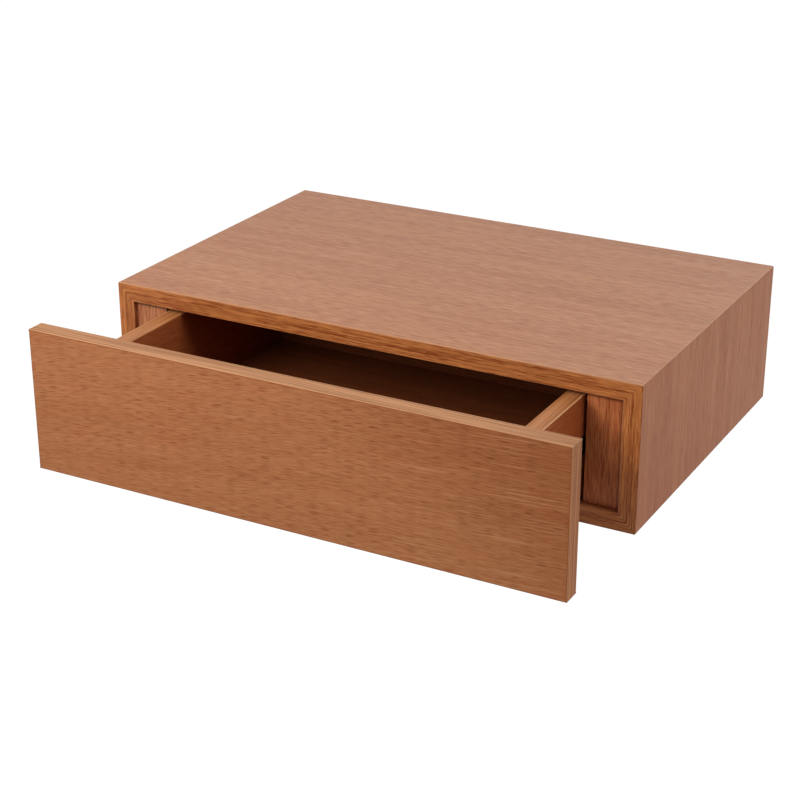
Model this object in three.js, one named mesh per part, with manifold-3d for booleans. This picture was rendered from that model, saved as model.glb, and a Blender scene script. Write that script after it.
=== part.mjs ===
// A floating nightstand in beech veneer: a mitred box that hangs on a bevelled wall rail,
// and one drawer without a handle that runs on ball-bearing runners let into its sides.
// Millimetres, +Z up. The front faces -Y, X runs along the front, and the wall is y = 0.
import * as THREE from 'three';
import { mergeVertices } from 'three/addons/utils/BufferGeometryUtils.js';
import Module from 'manifold-3d';

const wasm = await Module();
wasm.setup();

// Driving dimensions of the box
const carcassWidth = 500;
const carcassHeight = 130;
const boardThickness = 16;
const frontEdging = 1.2;
const edgingRound = 0.6;
const cornerRound = 1.2;

// Upright fillers beside the drawer, and the panels behind them that carry the runners
const fillerWidth = 32;
const fillerThickness = 16;
const fillerRecess = 5;
const runnerPanelThickness = 16;

// Back panel and the two rails that hang the box on the wall
const backThickness = 8;
const backGrooveDepth = 6;
const railThickness = 15;
const railWallGap = 3;
const hangingRailHeight = 51;
const wallRailBottom = 24;
const wallRailEndGap = 14;
const wallHoleRadius = 2.75;
const wallHoleHeadRadius = 5;
const wallHoleCountersink = 3;
const wallHoleEndDistance = 30;
const wallHoleShares = [-1, -0.35, 0.35, 1];

// Drawer
const frontSideReveal = 3;
const frontReveal = 1;
const frontThickness = 18;
const frontBand = 1;
const frontBandRound = 0.8;
const closedGap = 2;
const drawerPastRunner = 1;
const drawerSideThickness = 15;
const drawerSideGap = 3;
const drawerFloorGap = 2.5;
const drawerCeilingGap = 3.5;
const sideBand = 1;
const bottomThickness = 5;
const bottomGrooveDepth = 6;
const bottomHeight = 8;

// Runners: a 17 mm groove in each drawer side holds the outer rail
const grooveHeight = 17;
const grooveDepth = 9;
const grooveFrontStop = 9;
const runnerLength = 278;
const runnerSetback = 9;
const runnerTravel = 205;
const runnerBackClearance = 5.5;
const railSheet = 1;
const innerRailHeight = 8;
const ballRadius = 1.3;
const ballsPerRow = 6;
const cageSheet = 0.6;
const cageWebGap = 0.35;
const stopLugLength = 1.5;
const stopLugDepth = 4;
const endStopThickness = 1.2;

// Fasteners
const dowelRadius = 4;
const dowelLength = 28;
const railDowelInSide = 10;
const drawerDowelRadius = 3;
const drawerDowelInSide = 9;
const dowelChamfer = 1;
const frontScrewLength = 28;
const frontScrewRadius = 2;
const frontScrewHeadRadius = 4;
const frontScrewHeadHeight = 2.4;
const railScrewRadius = 1.5;
const railScrewHeadRadius = 2.6;
const railScrewHeadHeight = 0.9;
const railScrewIntoPanel = 12;
const railScrewIntoSide = 4;

// How far the drawer stands open at rest, as it was photographed
const restOpening = 109;

// Gap between pieces that are cut to take each other, and how far cutting tools overrun
const seatGap = 0.3;
const overrun = 1;

const roundSteps = 3;
const fastenerSides = 14;
const ballSides = 10;
const ballRings = 6;

// The box is as deep as its runners, the panel behind them and the rails need
const backRecess = railThickness + railWallGap;
const runnerSpace = runnerLength + seatGap + endStopThickness + runnerBackClearance;
const carcassDepth = runnerSetback + runnerSpace + backThickness + backRecess;
const drawerLength = closedGap + runnerSetback + runnerLength + drawerPastRunner;

// Planes of the box, all from the sizes above
const halfWidth = carcassWidth / 2;
const innerHalfWidth = halfWidth - boardThickness;
const ceilingHeight = carcassHeight - boardThickness;
const midHeight = carcassHeight / 2;
const carcassFront = -carcassDepth;
const boardFront = carcassFront + frontEdging;
const backFront = -backRecess - backThickness;
const runnerPlane = innerHalfWidth - fillerWidth;

const finishes = {
  topVeneer: { color: '#b98a70', roughness: 0.5, metalness: 0 },
  sideVeneer: { color: '#9e6e56', roughness: 0.5, metalness: 0 },
  edging: { color: '#b27441', roughness: 0.45, metalness: 0 },
  filler: { color: '#a5694a', roughness: 0.5, metalness: 0 },
  frontVeneer: { color: '#ad7048', roughness: 0.48, metalness: 0 },
  frontEdge: { color: '#c49068', roughness: 0.42, metalness: 0 },
  drawerSide: { color: '#7a3c20', roughness: 0.55, metalness: 0 },
  panelBack: { color: '#c9a27f', roughness: 0.7, metalness: 0 },
  ply: { color: '#d0aa7c', roughness: 0.75, metalness: 0 },
  dowel: { color: '#d8b78a', roughness: 0.8, metalness: 0 },
  blackSteel: { color: '#232325', roughness: 0.45, metalness: 0.8 },
  brightSteel: { color: '#c4c6c8', roughness: 0.3, metalness: 1 },
};

// Turns a closed geometry's faces round where they point inwards.
function facingOut(geometry) {
  const place = geometry.getAttribute('position');
  const index = geometry.getIndex();
  const [a, b, c] = [new THREE.Vector3(), new THREE.Vector3(), new THREE.Vector3()];
  let volume = 0;
  for (let i = 0; i < index.count; i += 3) {
    a.fromBufferAttribute(place, index.getX(i));
    b.fromBufferAttribute(place, index.getX(i + 1));
    c.fromBufferAttribute(place, index.getX(i + 2));
    volume += a.dot(b.cross(c));
  }
  if (volume < 0) {
    geometry.setIndex([...index.array].reverse());
  }
  return geometry;
}

// A solid through rings of as many points each. The end rings are flat and convex.
function loft(rings) {
  const count = rings[0].length;
  const last = (rings.length - 1) * count;
  const triangles = [];
  for (let low = 0; low < last; low += count) {
    for (let i = 0; i < count; i++) {
      const next = (i + 1) % count;
      triangles.push(low + i, low + next, low + count + next);
      triangles.push(low + i, low + count + next, low + count + i);
    }
  }
  for (let i = 1; i < count - 1; i++) {
    triangles.push(0, i + 1, i);
    triangles.push(last, last + i, last + i + 1);
  }
  const geometry = new THREE.BufferGeometry();
  geometry.setAttribute('position', new THREE.Float32BufferAttribute(rings.flat(2), 3));
  geometry.setIndex(triangles);
  return facingOut(geometry);
}

// A rectangle in two coordinates. The corners named in rounds, counted from the low-low
// corner, are rounded with the given radius.
function roundedRectangle(low, high, radius, rounds) {
  const corners = [
    [low[0], low[1], 1, 1],
    [high[0], low[1], -1, 1],
    [high[0], high[1], -1, -1],
    [low[0], high[1], 1, -1],
  ];
  const points = [];
  corners.forEach(([u, v, inU, inV], corner) => {
    if (!rounds.includes(corner)) {
      points.push([u, v]);
      return;
    }
    for (let step = 0; step <= roundSteps; step++) {
      const turn = (Math.PI / 2) * (corner - 2 + step / roundSteps);
      const centre = [u + inU * radius, v + inV * radius];
      points.push([centre[0] + radius * Math.cos(turn), centre[1] + radius * Math.sin(turn)]);
    }
  });
  return points;
}

function block(low, high) {
  const geometry = new THREE.BoxGeometry(high[0] - low[0], high[1] - low[1], high[2] - low[2]);
  return geometry.translate((low[0] + high[0]) / 2, (low[1] + high[1]) / 2, (low[2] + high[2]) / 2);
}

// An outline in X and Z carried along Y from its front to its back.
function carriedAlongY(outline, front, back) {
  const shape = new THREE.Shape(outline.map(([x, z]) => new THREE.Vector2(x, z)));
  const geometry = new THREE.ExtrudeGeometry(shape, { depth: back - front, bevelEnabled: false });
  return geometry.rotateX(Math.PI / 2).translate(0, back, 0);
}

// A turned piece whose axis starts at a point and runs in a direction.
function turned(profile, start, direction) {
  const points = profile.map(([radius, along]) => new THREE.Vector2(radius, along));
  const geometry = new THREE.LatheGeometry(points, fastenerSides);
  const upright = new THREE.Vector3(0, 1, 0);
  const turn = new THREE.Quaternion().setFromUnitVectors(upright, new THREE.Vector3(...direction));
  return geometry.applyQuaternion(turn).translate(...start);
}

function solidOf(geometry) {
  const bare = geometry.clone();
  bare.deleteAttribute('normal');
  bare.deleteAttribute('uv');
  const merged = mergeVertices(bare);
  const mesh = new wasm.Mesh({
    numProp: 3,
    vertProperties: new Float32Array(merged.getAttribute('position').array),
    triVerts: new Uint32Array(merged.getIndex().array),
  });
  return new wasm.Manifold(mesh);
}

function geometryOf(solid) {
  const mesh = solid.getMesh();
  const geometry = new THREE.BufferGeometry();
  geometry.setAttribute('position', new THREE.BufferAttribute(mesh.vertProperties, 3));
  geometry.setIndex(new THREE.BufferAttribute(mesh.triVerts, 1));
  return geometry;
}

function cutBy(geometry, tools) {
  const start = solidOf(geometry);
  return geometryOf(tools.reduce((solid, tool) => solid.subtract(solidOf(tool)), start));
}

function joined(geometries) {
  const [first, ...others] = geometries.map(solidOf);
  return geometryOf(others.reduce((solid, other) => solid.add(other), first));
}

function piece(group, name, geometry, finish) {
  geometry.computeVertexNormals();
  const mesh = new THREE.Mesh(geometry, new THREE.MeshStandardMaterial(finishes[finish]));
  mesh.name = name;
  group.add(mesh);
}

// Everything below is placed with the underside of the box at z = 0 and the drawer shut.
const nightstand = new THREE.Group();
const carcass = new THREE.Group();
const drawer = new THREE.Group();
const cages = new THREE.Group();
nightstand.add(carcass, drawer, cages);

// The four sides of the box frame. A point is given by how deep it lies under the outer
// face and how far along the board, and each board ends in mitres.
const frameSides = {
  top: { half: halfWidth, at: (depth, y, run) => [run, y, carcassHeight - depth] },
  bottom: { half: halfWidth, at: (depth, y, run) => [run, y, depth] },
  left: { half: midHeight, at: (depth, y, run) => [depth - halfWidth, y, midHeight + run] },
  right: { half: midHeight, at: (depth, y, run) => [halfWidth - depth, y, midHeight + run] },
};

// One board's outline at a given Y, drawn in by inset. Its two outer corners are rounded,
// and each half of a round belongs to one of the two boards that meet there.
function frameOutline(side, y, inset) {
  const { half, at } = frameSides[side];
  const radius = cornerRound - inset;
  const corner = [];
  for (let step = 0; step <= roundSteps; step++) {
    const turn = (Math.PI / 4) * (step / roundSteps);
    const depth = cornerRound - radius * Math.cos(turn);
    corner.push([depth, half - cornerRound + radius * Math.sin(turn)]);
  }
  const innerDepth = boardThickness - inset;
  const oneEnd = [...corner, [innerDepth, half - innerDepth]];
  const otherEnd = oneEnd.map(([depth, run]) => [depth, -run]).reverse();
  return [...oneEnd, ...otherEnd].map(([depth, run]) => at(depth, y, run));
}

// A straight wooden dowel with chamfered ends, and the hole that takes it.
function dowelProfile(radius, gap) {
  const length = dowelLength + gap;
  return [
    [0, -gap],
    [radius + gap - dowelChamfer, -gap],
    [radius + gap, dowelChamfer - gap],
    [radius + gap, length - dowelChamfer],
    [radius + gap - dowelChamfer, length],
    [0, length],
  ];
}

// A countersunk screw, whose head top is at the start of its axis, and the hole for it.
function screwProfile(screw, gap) {
  const { radius, headRadius, headHeight, length } = screw;
  const point = 2 * radius;
  return [
    [0, 0],
    [headRadius + gap, 0],
    [radius + gap, headHeight],
    [radius + gap, length - point + gap],
    [0, length + gap],
  ];
}

function screwHole(screw, start, direction) {
  const profile = screwProfile(screw, seatGap);
  const mouth = [
    [0, -overrun],
    [screw.headRadius + seatGap, -overrun],
  ];
  return turned([...mouth, ...profile.slice(1)], start, direction);
}

// Groove round the inside of the box that holds the back panel
const grooveHalfWidth = innerHalfWidth + backGrooveDepth;
const grooveLow = boardThickness - backGrooveDepth;
const grooveHigh = ceilingHeight + backGrooveDepth;
const backGroove = block(
  [-grooveHalfWidth, backFront - seatGap, grooveLow],
  [grooveHalfWidth, seatGap - backRecess, grooveHigh],
);

// Rail that is dowelled between the side boards. Its lower edge is bevelled at 45 degrees
// and drops behind the upper edge of the rail on the wall.
const hangingTip = ceilingHeight - hangingRailHeight;
const hangingHeel = hangingTip + railThickness;
const railDowelY = railThickness / 2 - backRecess;
const railDowelShares = [0.25, 0.75];
const railDowels = [['left', -1], ['right', 1]].flatMap(([sideName, hand]) => railDowelShares.map(
  (share, i) => ({
    name: `${sideName}_rail_dowel_${i + 1}`,
    start: [
      hand * (innerHalfWidth + railDowelInSide),
      railDowelY,
      hangingHeel + share * (ceilingHeight - hangingHeel),
    ],
    direction: [-hand, 0, 0],
  }),
));
const railDowelHoles = railDowels.map(
  ({ start, direction }) => turned(dowelProfile(dowelRadius, seatGap), start, direction),
);

// Boards of the box
for (const side of ['top', 'bottom']) {
  const board = loft([frameOutline(side, boardFront, 0), frameOutline(side, 0, 0)]);
  piece(carcass, `${side}_panel`, cutBy(board, [backGroove]), 'topVeneer');
}
for (const side of ['left', 'right']) {
  const board = loft([frameOutline(side, boardFront, 0), frameOutline(side, 0, 0)]);
  piece(carcass, `${side}_side_panel`, cutBy(board, [backGroove, ...railDowelHoles]), 'sideVeneer');
}

// Edging on the front of the boards, mitred like a picture frame, with its arrises rounded
for (const side of Object.keys(frameSides)) {
  const rings = [frameOutline(side, boardFront, 0)];
  for (let step = 0; step <= roundSteps; step++) {
    const turn = (Math.PI / 2) * (step / roundSteps);
    const y = carcassFront + edgingRound * (1 - Math.sin(turn));
    rings.push(frameOutline(side, y, edgingRound * (1 - Math.cos(turn))));
  }
  piece(carcass, `${side}_front_edging`, loft(rings), 'edging');
}

// Sheet screws hold each inner rail to its panel and each outer rail to the drawer side
const panelScrew = {
  radius: railScrewRadius,
  headRadius: railScrewHeadRadius,
  headHeight: railScrewHeadHeight,
  length: railSheet + seatGap + railScrewIntoPanel,
};
const sideScrew = { ...panelScrew, length: railSheet + seatGap + railScrewIntoSide };
const runnerFront = carcassFront + runnerSetback;
const runnerBack = runnerFront + runnerLength;
const runnerScrewShares = [0.14, 0.86];
const runnerScrewPlaces = runnerScrewShares.map((share) => runnerFront + share * runnerLength);
const innerRailWeb = runnerPlane - seatGap - railSheet;
const drawerHalfWidth = runnerPlane - drawerSideGap;
const outerRailWeb = drawerHalfWidth - grooveDepth + seatGap;

function panelScrewStart(hand, y) {
  return [hand * innerRailWeb, y, midHeight];
}

function sideScrewStart(hand, y) {
  return [hand * (outerRailWeb + railSheet), y, midHeight];
}

// Fillers and runner panels stand on both sides of the drawer
const fillerFront = carcassFront + fillerRecess;
const fillerBack = fillerFront + fillerThickness;
for (const [sideName, hand] of [['left', -1], ['right', 1]]) {
  const low = Math.min(hand * runnerPlane, hand * innerHalfWidth);
  const high = Math.max(hand * runnerPlane, hand * innerHalfWidth);
  const filler = block([low, fillerFront, boardThickness], [high, fillerBack, ceilingHeight]);
  piece(carcass, `${sideName}_filler`, filler, 'filler');

  const panelFaces = [hand * runnerPlane, hand * (runnerPlane + runnerPanelThickness)];
  const panel = block(
    [Math.min(...panelFaces), fillerBack, boardThickness],
    [Math.max(...panelFaces), backFront, ceilingHeight],
  );
  const holes = runnerScrewPlaces.map(
    (y) => screwHole(panelScrew, panelScrewStart(hand, y), [hand, 0, 0]),
  );
  piece(carcass, `${sideName}_runner_panel`, cutBy(panel, holes), 'drawerSide');
}

// Back panel, held in the groove
const backPanel = block(
  [seatGap - grooveHalfWidth, backFront, grooveLow + seatGap],
  [grooveHalfWidth - seatGap, -backRecess, grooveHigh - seatGap],
);
piece(carcass, 'back_panel', backPanel, 'panelBack');

// The bevelled rails as outlines in Y and Z, carried along X
function railAlongX(outline, halfLength) {
  return loft([-halfLength, halfLength].map((x) => outline.map(([y, z]) => [x, y, z])));
}

const hangingRail = railAlongX([
  [-backRecess, hangingHeel],
  [-railWallGap, hangingTip],
  [-railWallGap, ceilingHeight],
  [-backRecess, ceilingHeight],
], innerHalfWidth - seatGap);
piece(carcass, 'hanging_rail', cutBy(hangingRail, railDowelHoles), 'ply');

for (const { name, start, direction } of railDowels) {
  piece(carcass, name, turned(dowelProfile(dowelRadius, 0), start, direction), 'dowel');
}

// The wall rail's bevel lies under the hanging rail's, one seat gap below it
const bevelAtWall = hangingTip - railWallGap - seatGap * Math.SQRT2;
const wallRailHeight = bevelAtWall - wallRailBottom;
const mountHeight = wallRailBottom + wallRailHeight / 2;
const wallRailHalf = innerHalfWidth - wallRailEndGap;
const wallHoleSpread = wallRailHalf - wallHoleEndDistance;
const wallRail = railAlongX([
  [-railThickness, wallRailBottom],
  [0, wallRailBottom],
  [0, bevelAtWall],
  [-railThickness, bevelAtWall + railThickness],
], wallRailHalf);
const wallHoleProfile = [
  [0, -overrun],
  [wallHoleHeadRadius, -overrun],
  [wallHoleHeadRadius, 0],
  [wallHoleRadius, wallHoleCountersink],
  [wallHoleRadius, railThickness + overrun],
  [0, railThickness + overrun],
];
const wallHoles = wallHoleShares.map(
  (share) => turned(
    wallHoleProfile, [share * wallHoleSpread, -railThickness, mountHeight], [0, 1, 0],
  ),
);
piece(carcass, 'wall_rail', cutBy(wallRail, wallHoles), 'ply');

// Runners. Seen along Y each is an outer rail in the drawer side's groove, an inner rail
// on the runner panel, and a cage of balls between their flanges.
const outerRailHalf = grooveHeight / 2 - seatGap;
const outerRailMouth = drawerHalfWidth - 2 * seatGap;
const raceTop = outerRailHalf - railSheet;
const innerRailHalf = innerRailHeight / 2;
const ballHeight = (raceTop + innerRailHalf) / 2;
const cageWeb = outerRailWeb + railSheet + cageWebGap;
const innerRailEdge = cageWeb + cageSheet + cageWebGap;
const lugStart = (innerRailEdge + outerRailMouth) / 2 - stopLugDepth / 2;
const cageLength = runnerLength - runnerTravel - 2 * stopLugLength - seatGap;
const cageFront = runnerFront + runnerTravel / 2 + stopLugLength + seatGap / 2;

// A channel's outline: web at one side, two flanges that reach to the other.
function channel(hand, web, edge, half, sheet) {
  const inward = Math.sign(edge - web);
  return [
    [web, -half],
    [edge, -half],
    [edge, sheet - half],
    [web + inward * sheet, sheet - half],
    [web + inward * sheet, half - sheet],
    [edge, half - sheet],
    [edge, half],
    [web, half],
  ].map(([x, z]) => [hand * x, midHeight + z]);
}

function mirroredBlock(hand, low, high) {
  const ends = [hand * low[0], hand * high[0]];
  return block([Math.min(...ends), low[1], low[2]], [Math.max(...ends), high[1], high[2]]);
}

for (const [sideName, hand] of [['left', -1], ['right', 1]]) {
  // Inner rail, with lugs that stop the cage in front and a bent end that stops the drawer
  const innerRail = carriedAlongY(
    channel(hand, runnerPlane - seatGap, innerRailEdge, innerRailHalf, railSheet),
    runnerFront, runnerBack + seatGap + endStopThickness,
  );
  const innerLugs = [-1, 1].map((up) => {
    const reach = [up * (innerRailHalf - railSheet / 2), up * (raceTop - seatGap)];
    return mirroredBlock(
      hand,
      [lugStart, runnerFront, midHeight + Math.min(...reach)],
      [lugStart + stopLugDepth, runnerFront + stopLugLength, midHeight + Math.max(...reach)],
    );
  });
  const endStop = mirroredBlock(
    hand,
    [outerRailWeb, runnerBack + seatGap, midHeight - outerRailHalf],
    [runnerPlane - seatGap, runnerBack + seatGap + endStopThickness, midHeight + outerRailHalf],
  );
  const panelHoles = runnerScrewPlaces.map(
    (y) => screwHole(panelScrew, panelScrewStart(hand, y), [hand, 0, 0]),
  );
  const innerSolid = cutBy(joined([innerRail, ...innerLugs, endStop]), panelHoles);
  piece(carcass, `${sideName}_runner_inner_rail`, innerSolid, 'blackSteel');

  // Outer rail, which travels with the drawer, with lugs that stop the cage behind
  const outerRail = carriedAlongY(
    channel(hand, outerRailWeb, outerRailMouth, outerRailHalf, railSheet), runnerFront, runnerBack,
  );
  const outerLugs = [-1, 1].map((up) => {
    const reach = [up * (innerRailHalf + seatGap), up * (outerRailHalf - railSheet / 2)];
    return mirroredBlock(
      hand,
      [lugStart, runnerBack - stopLugLength, midHeight + Math.min(...reach)],
      [lugStart + stopLugDepth, runnerBack, midHeight + Math.max(...reach)],
    );
  });
  const sideHoles = runnerScrewPlaces.map(
    (y) => screwHole(sideScrew, sideScrewStart(hand, y), [-hand, 0, 0]),
  );
  const outerSolid = cutBy(joined([outerRail, ...outerLugs]), sideHoles);
  piece(drawer, `${sideName}_runner_outer_rail`, outerSolid, 'blackSteel');

  // Cage: a thin channel whose flanges carry two rows of balls
  const cageStrip = carriedAlongY(
    channel(hand, cageWeb, outerRailMouth, ballHeight + cageSheet / 2, cageSheet),
    cageFront, cageFront + cageLength,
  );
  const ballPitch = cageLength / ballsPerRow;
  const balls = [];
  for (let i = 0; i < ballsPerRow; i++) {
    for (const up of [-1, 1]) {
      const ball = new THREE.SphereGeometry(ballRadius, ballSides, ballRings);
      ball.translate(
        hand * (lugStart + stopLugDepth / 2),
        cageFront + (i + 1 / 2) * ballPitch,
        midHeight + up * ballHeight,
      );
      balls.push(ball);
    }
  }
  piece(cages, `${sideName}_runner_ball_cage`, joined([cageStrip, ...balls]), 'brightSteel');

  runnerScrewPlaces.forEach((y, i) => {
    const intoPanel = turned(screwProfile(panelScrew, 0), panelScrewStart(hand, y), [hand, 0, 0]);
    piece(carcass, `${sideName}_inner_rail_screw_${i + 1}`, intoPanel, 'brightSteel');
    const intoSide = turned(screwProfile(sideScrew, 0), sideScrewStart(hand, y), [-hand, 0, 0]);
    piece(drawer, `${sideName}_outer_rail_screw_${i + 1}`, intoSide, 'brightSteel');
  });
}

// Drawer planes, with the drawer shut
const drawerFront = carcassFront - closedGap;
const drawerBack = drawerFront + drawerLength;
const drawerInnerHalf = drawerHalfWidth - drawerSideThickness;
const drawerFloor = boardThickness + drawerFloorGap;
const drawerTop = ceilingHeight - drawerCeilingGap;
const bottomLow = drawerFloor + bottomHeight;
const bottomHigh = bottomLow + bottomThickness;
const boxFrontBack = drawerFront + drawerSideThickness;
const boxBackFront = drawerBack - drawerSideThickness;

// Groove for the bottom panel in the two sides and the box front
const bottomGroove = block(
  [-drawerInnerHalf - bottomGrooveDepth, boxFrontBack - bottomGrooveDepth, bottomLow - seatGap],
  [drawerInnerHalf + bottomGrooveDepth, drawerBack + overrun, bottomHigh + seatGap],
);

// Dowels join the box front and back to the sides, clear of the runner groove
const dowelPlanes = [
  ['front', (drawerFront + boxFrontBack) / 2],
  ['back', (boxBackFront + drawerBack) / 2],
];
const drawerDowelShares = [0.3, 0.88];
const drawerDowelHeights = drawerDowelShares.map(
  (share) => drawerFloor + share * (drawerTop - drawerFloor),
);
const drawerDowels = [['left', -1], ['right', 1]].flatMap(([sideName, hand]) => dowelPlanes.flatMap(
  ([plane, y]) => drawerDowelHeights.map((height, i) => ({
    name: `${sideName}_${plane}_drawer_dowel_${i + 1}`,
    start: [hand * (drawerInnerHalf + drawerDowelInSide), y, height],
    direction: [-hand, 0, 0],
  })),
));
const drawerDowelHoles = drawerDowels.map(
  ({ start, direction }) => turned(dowelProfile(drawerDowelRadius, seatGap), start, direction),
);

// Screws from inside the box hold the front on
const frontScrew = {
  radius: frontScrewRadius,
  headRadius: frontScrewHeadRadius,
  headHeight: frontScrewHeadHeight,
  length: frontScrewLength,
};
const frontScrewShares = [-0.78, 0.78];
const frontScrewHeightShares = [0.38, 0.8];
const frontScrewPlaces = frontScrewShares.flatMap((share) => frontScrewHeightShares.map(
  (heightShare) => [
    share * drawerInnerHalf, boxFrontBack, drawerFloor + heightShare * (drawerTop - drawerFloor),
  ],
));
const frontScrewHoles = frontScrewPlaces.map((place) => screwHole(frontScrew, place, [0, -1, 0]));

// Drawer sides, with the runner groove outside and a banded upper edge
for (const [sideName, hand] of [['left', -1], ['right', 1]]) {
  const faces = [hand * drawerInnerHalf, hand * drawerHalfWidth];
  const board = block(
    [Math.min(...faces), drawerFront, drawerFloor],
    [Math.max(...faces), drawerBack, drawerTop - sideBand],
  );
  const runnerGroove = mirroredBlock(
    hand,
    [drawerHalfWidth - grooveDepth, drawerFront + grooveFrontStop, midHeight - grooveHeight / 2],
    [drawerHalfWidth + overrun, drawerBack + overrun, midHeight + grooveHeight / 2],
  );
  const screwHoles = runnerScrewPlaces.map(
    (y) => screwHole(sideScrew, sideScrewStart(hand, y), [-hand, 0, 0]),
  );
  const tools = [runnerGroove, bottomGroove, ...drawerDowelHoles, ...screwHoles];
  piece(drawer, `${sideName}_drawer_side`, cutBy(board, tools), 'drawerSide');

  const bandProfile = roundedRectangle(
    [Math.min(...faces), drawerTop - sideBand], [Math.max(...faces), drawerTop],
    sideBand / 2, [2, 3],
  );
  const band = loft([drawerFront, drawerBack].map((y) => bandProfile.map(([x, z]) => [x, y, z])));
  piece(drawer, `${sideName}_drawer_side_edging`, band, 'frontEdge');
}

const boxFront = block(
  [-drawerInnerHalf, drawerFront, drawerFloor], [drawerInnerHalf, boxFrontBack, drawerTop],
);
piece(
  drawer, 'drawer_box_front',
  cutBy(boxFront, [bottomGroove, ...drawerDowelHoles, ...frontScrewHoles]), 'drawerSide',
);

// The box back stands on the bottom panel, which slides in under it
const boxBack = block(
  [-drawerInnerHalf, boxBackFront, bottomHigh], [drawerInnerHalf, drawerBack, drawerTop],
);
piece(drawer, 'drawer_box_back', cutBy(boxBack, drawerDowelHoles), 'drawerSide');

const bottomPanel = block(
  [seatGap - drawerInnerHalf - bottomGrooveDepth, boxFrontBack - bottomGrooveDepth + seatGap, bottomLow],
  [drawerInnerHalf + bottomGrooveDepth - seatGap, drawerBack, bottomHigh],
);
piece(drawer, 'drawer_bottom', bottomPanel, 'drawerSide');

for (const { name, start, direction } of drawerDowels) {
  piece(drawer, name, turned(dowelProfile(drawerDowelRadius, 0), start, direction), 'dowel');
}

// Front board with a band on each of its four edges
const frontFace = drawerFront - frontThickness;
const frontHalf = halfWidth - frontSideReveal;
const frontLow = frontReveal;
const frontHigh = carcassHeight - frontReveal;
const frontCore = block(
  [frontBand - frontHalf, frontFace, frontLow + frontBand],
  [frontHalf - frontBand, drawerFront, frontHigh - frontBand],
);
piece(drawer, 'drawer_front', cutBy(frontCore, frontScrewHoles), 'frontVeneer');

for (const [name, low, high, rounds] of [
  ['bottom', frontLow, frontLow + frontBand, [0, 1]],
  ['top', frontHigh - frontBand, frontHigh, [2, 3]],
]) {
  const profile = roundedRectangle([frontFace, low], [drawerFront, high], frontBandRound, rounds);
  const band = loft([-frontHalf, frontHalf].map((x) => profile.map(([y, z]) => [x, y, z])));
  piece(drawer, `drawer_front_${name}_edging`, band, 'frontEdge');
}

const bandHeights = [frontLow + frontBand, frontHigh - frontBand];
for (const [name, low, high, rounds] of [
  ['left', -frontHalf, frontBand - frontHalf, [0, 3]],
  ['right', frontHalf - frontBand, frontHalf, [1, 2]],
]) {
  const profile = roundedRectangle([low, frontFace], [high, drawerFront], frontBandRound, rounds);
  const band = loft(bandHeights.map((z) => profile.map(([x, y]) => [x, y, z])));
  piece(drawer, `drawer_front_${name}_edging`, band, 'frontEdge');
}

frontScrewPlaces.forEach((place, i) => {
  const screw = turned(screwProfile(frontScrew, 0), place, [0, -1, 0]);
  piece(drawer, `front_fixing_screw_${i + 1}`, screw, 'brightSteel');
});

// The drawer stands open, and the ball cages have rolled half as far. The origin is the
// middle of the wall rail's back face.
drawer.position.y = -restOpening;
cages.position.y = -restOpening / 2;
nightstand.position.z = -mountHeight;

export default nightstand;
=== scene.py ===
# The looks of a floating nightstand: a mitred box in beech veneer that hangs on a bevelled
# wall rail, and one drawer that stands part open. Metres, +Z up, and the front faces -Y.
import math
import bmesh
import bpy
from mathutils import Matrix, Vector


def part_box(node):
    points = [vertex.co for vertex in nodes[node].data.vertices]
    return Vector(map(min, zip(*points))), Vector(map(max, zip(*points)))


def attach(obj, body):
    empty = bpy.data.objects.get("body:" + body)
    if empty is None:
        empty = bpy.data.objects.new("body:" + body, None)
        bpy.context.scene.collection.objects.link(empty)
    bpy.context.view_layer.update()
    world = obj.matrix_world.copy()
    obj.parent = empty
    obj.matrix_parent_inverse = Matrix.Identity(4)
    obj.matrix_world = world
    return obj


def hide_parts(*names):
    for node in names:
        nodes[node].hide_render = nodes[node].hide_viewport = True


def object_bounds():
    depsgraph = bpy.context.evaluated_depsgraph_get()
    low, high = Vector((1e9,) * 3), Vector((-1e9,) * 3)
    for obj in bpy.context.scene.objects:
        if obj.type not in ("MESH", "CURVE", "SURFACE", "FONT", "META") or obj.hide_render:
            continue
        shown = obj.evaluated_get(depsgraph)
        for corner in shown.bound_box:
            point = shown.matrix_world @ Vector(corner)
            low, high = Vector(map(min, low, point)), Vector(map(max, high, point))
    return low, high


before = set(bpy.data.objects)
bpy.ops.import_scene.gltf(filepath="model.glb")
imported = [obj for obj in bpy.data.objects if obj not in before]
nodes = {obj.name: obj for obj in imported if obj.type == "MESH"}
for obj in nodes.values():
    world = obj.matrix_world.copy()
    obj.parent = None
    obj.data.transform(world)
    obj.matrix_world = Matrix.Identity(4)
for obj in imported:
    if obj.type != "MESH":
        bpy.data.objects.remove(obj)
cad_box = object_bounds()

# Camera
# It stands off the front right corner of the box and looks down on it through a long lens,
# so that the 800 pixel frame is filled as in the photograph.
image_pixels = 800
focal_pixels = 1865.6
view_azimuth = math.radians(28.48)
view_elevation = math.radians(23.25)
view_distance = 1.6204
view_target = Vector((0.0087, -0.270, 0.0078))

camera_data = bpy.data.cameras.new("camera")
camera_data.lens = camera_data.sensor_width * focal_pixels / image_pixels
camera = bpy.data.objects.new("camera", camera_data)
bpy.context.collection.objects.link(camera)
back_vector = Vector((
    math.sin(view_azimuth) * math.cos(view_elevation),
    -math.cos(view_azimuth) * math.cos(view_elevation),
    math.sin(view_elevation),
))
camera.location = view_target + back_vector * view_distance
camera.rotation_euler = (-back_vector).to_track_quat("-Z", "Y").to_euler()
bpy.context.scene.camera = camera
bpy.context.scene.view_settings.view_transform = "Standard"


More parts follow.
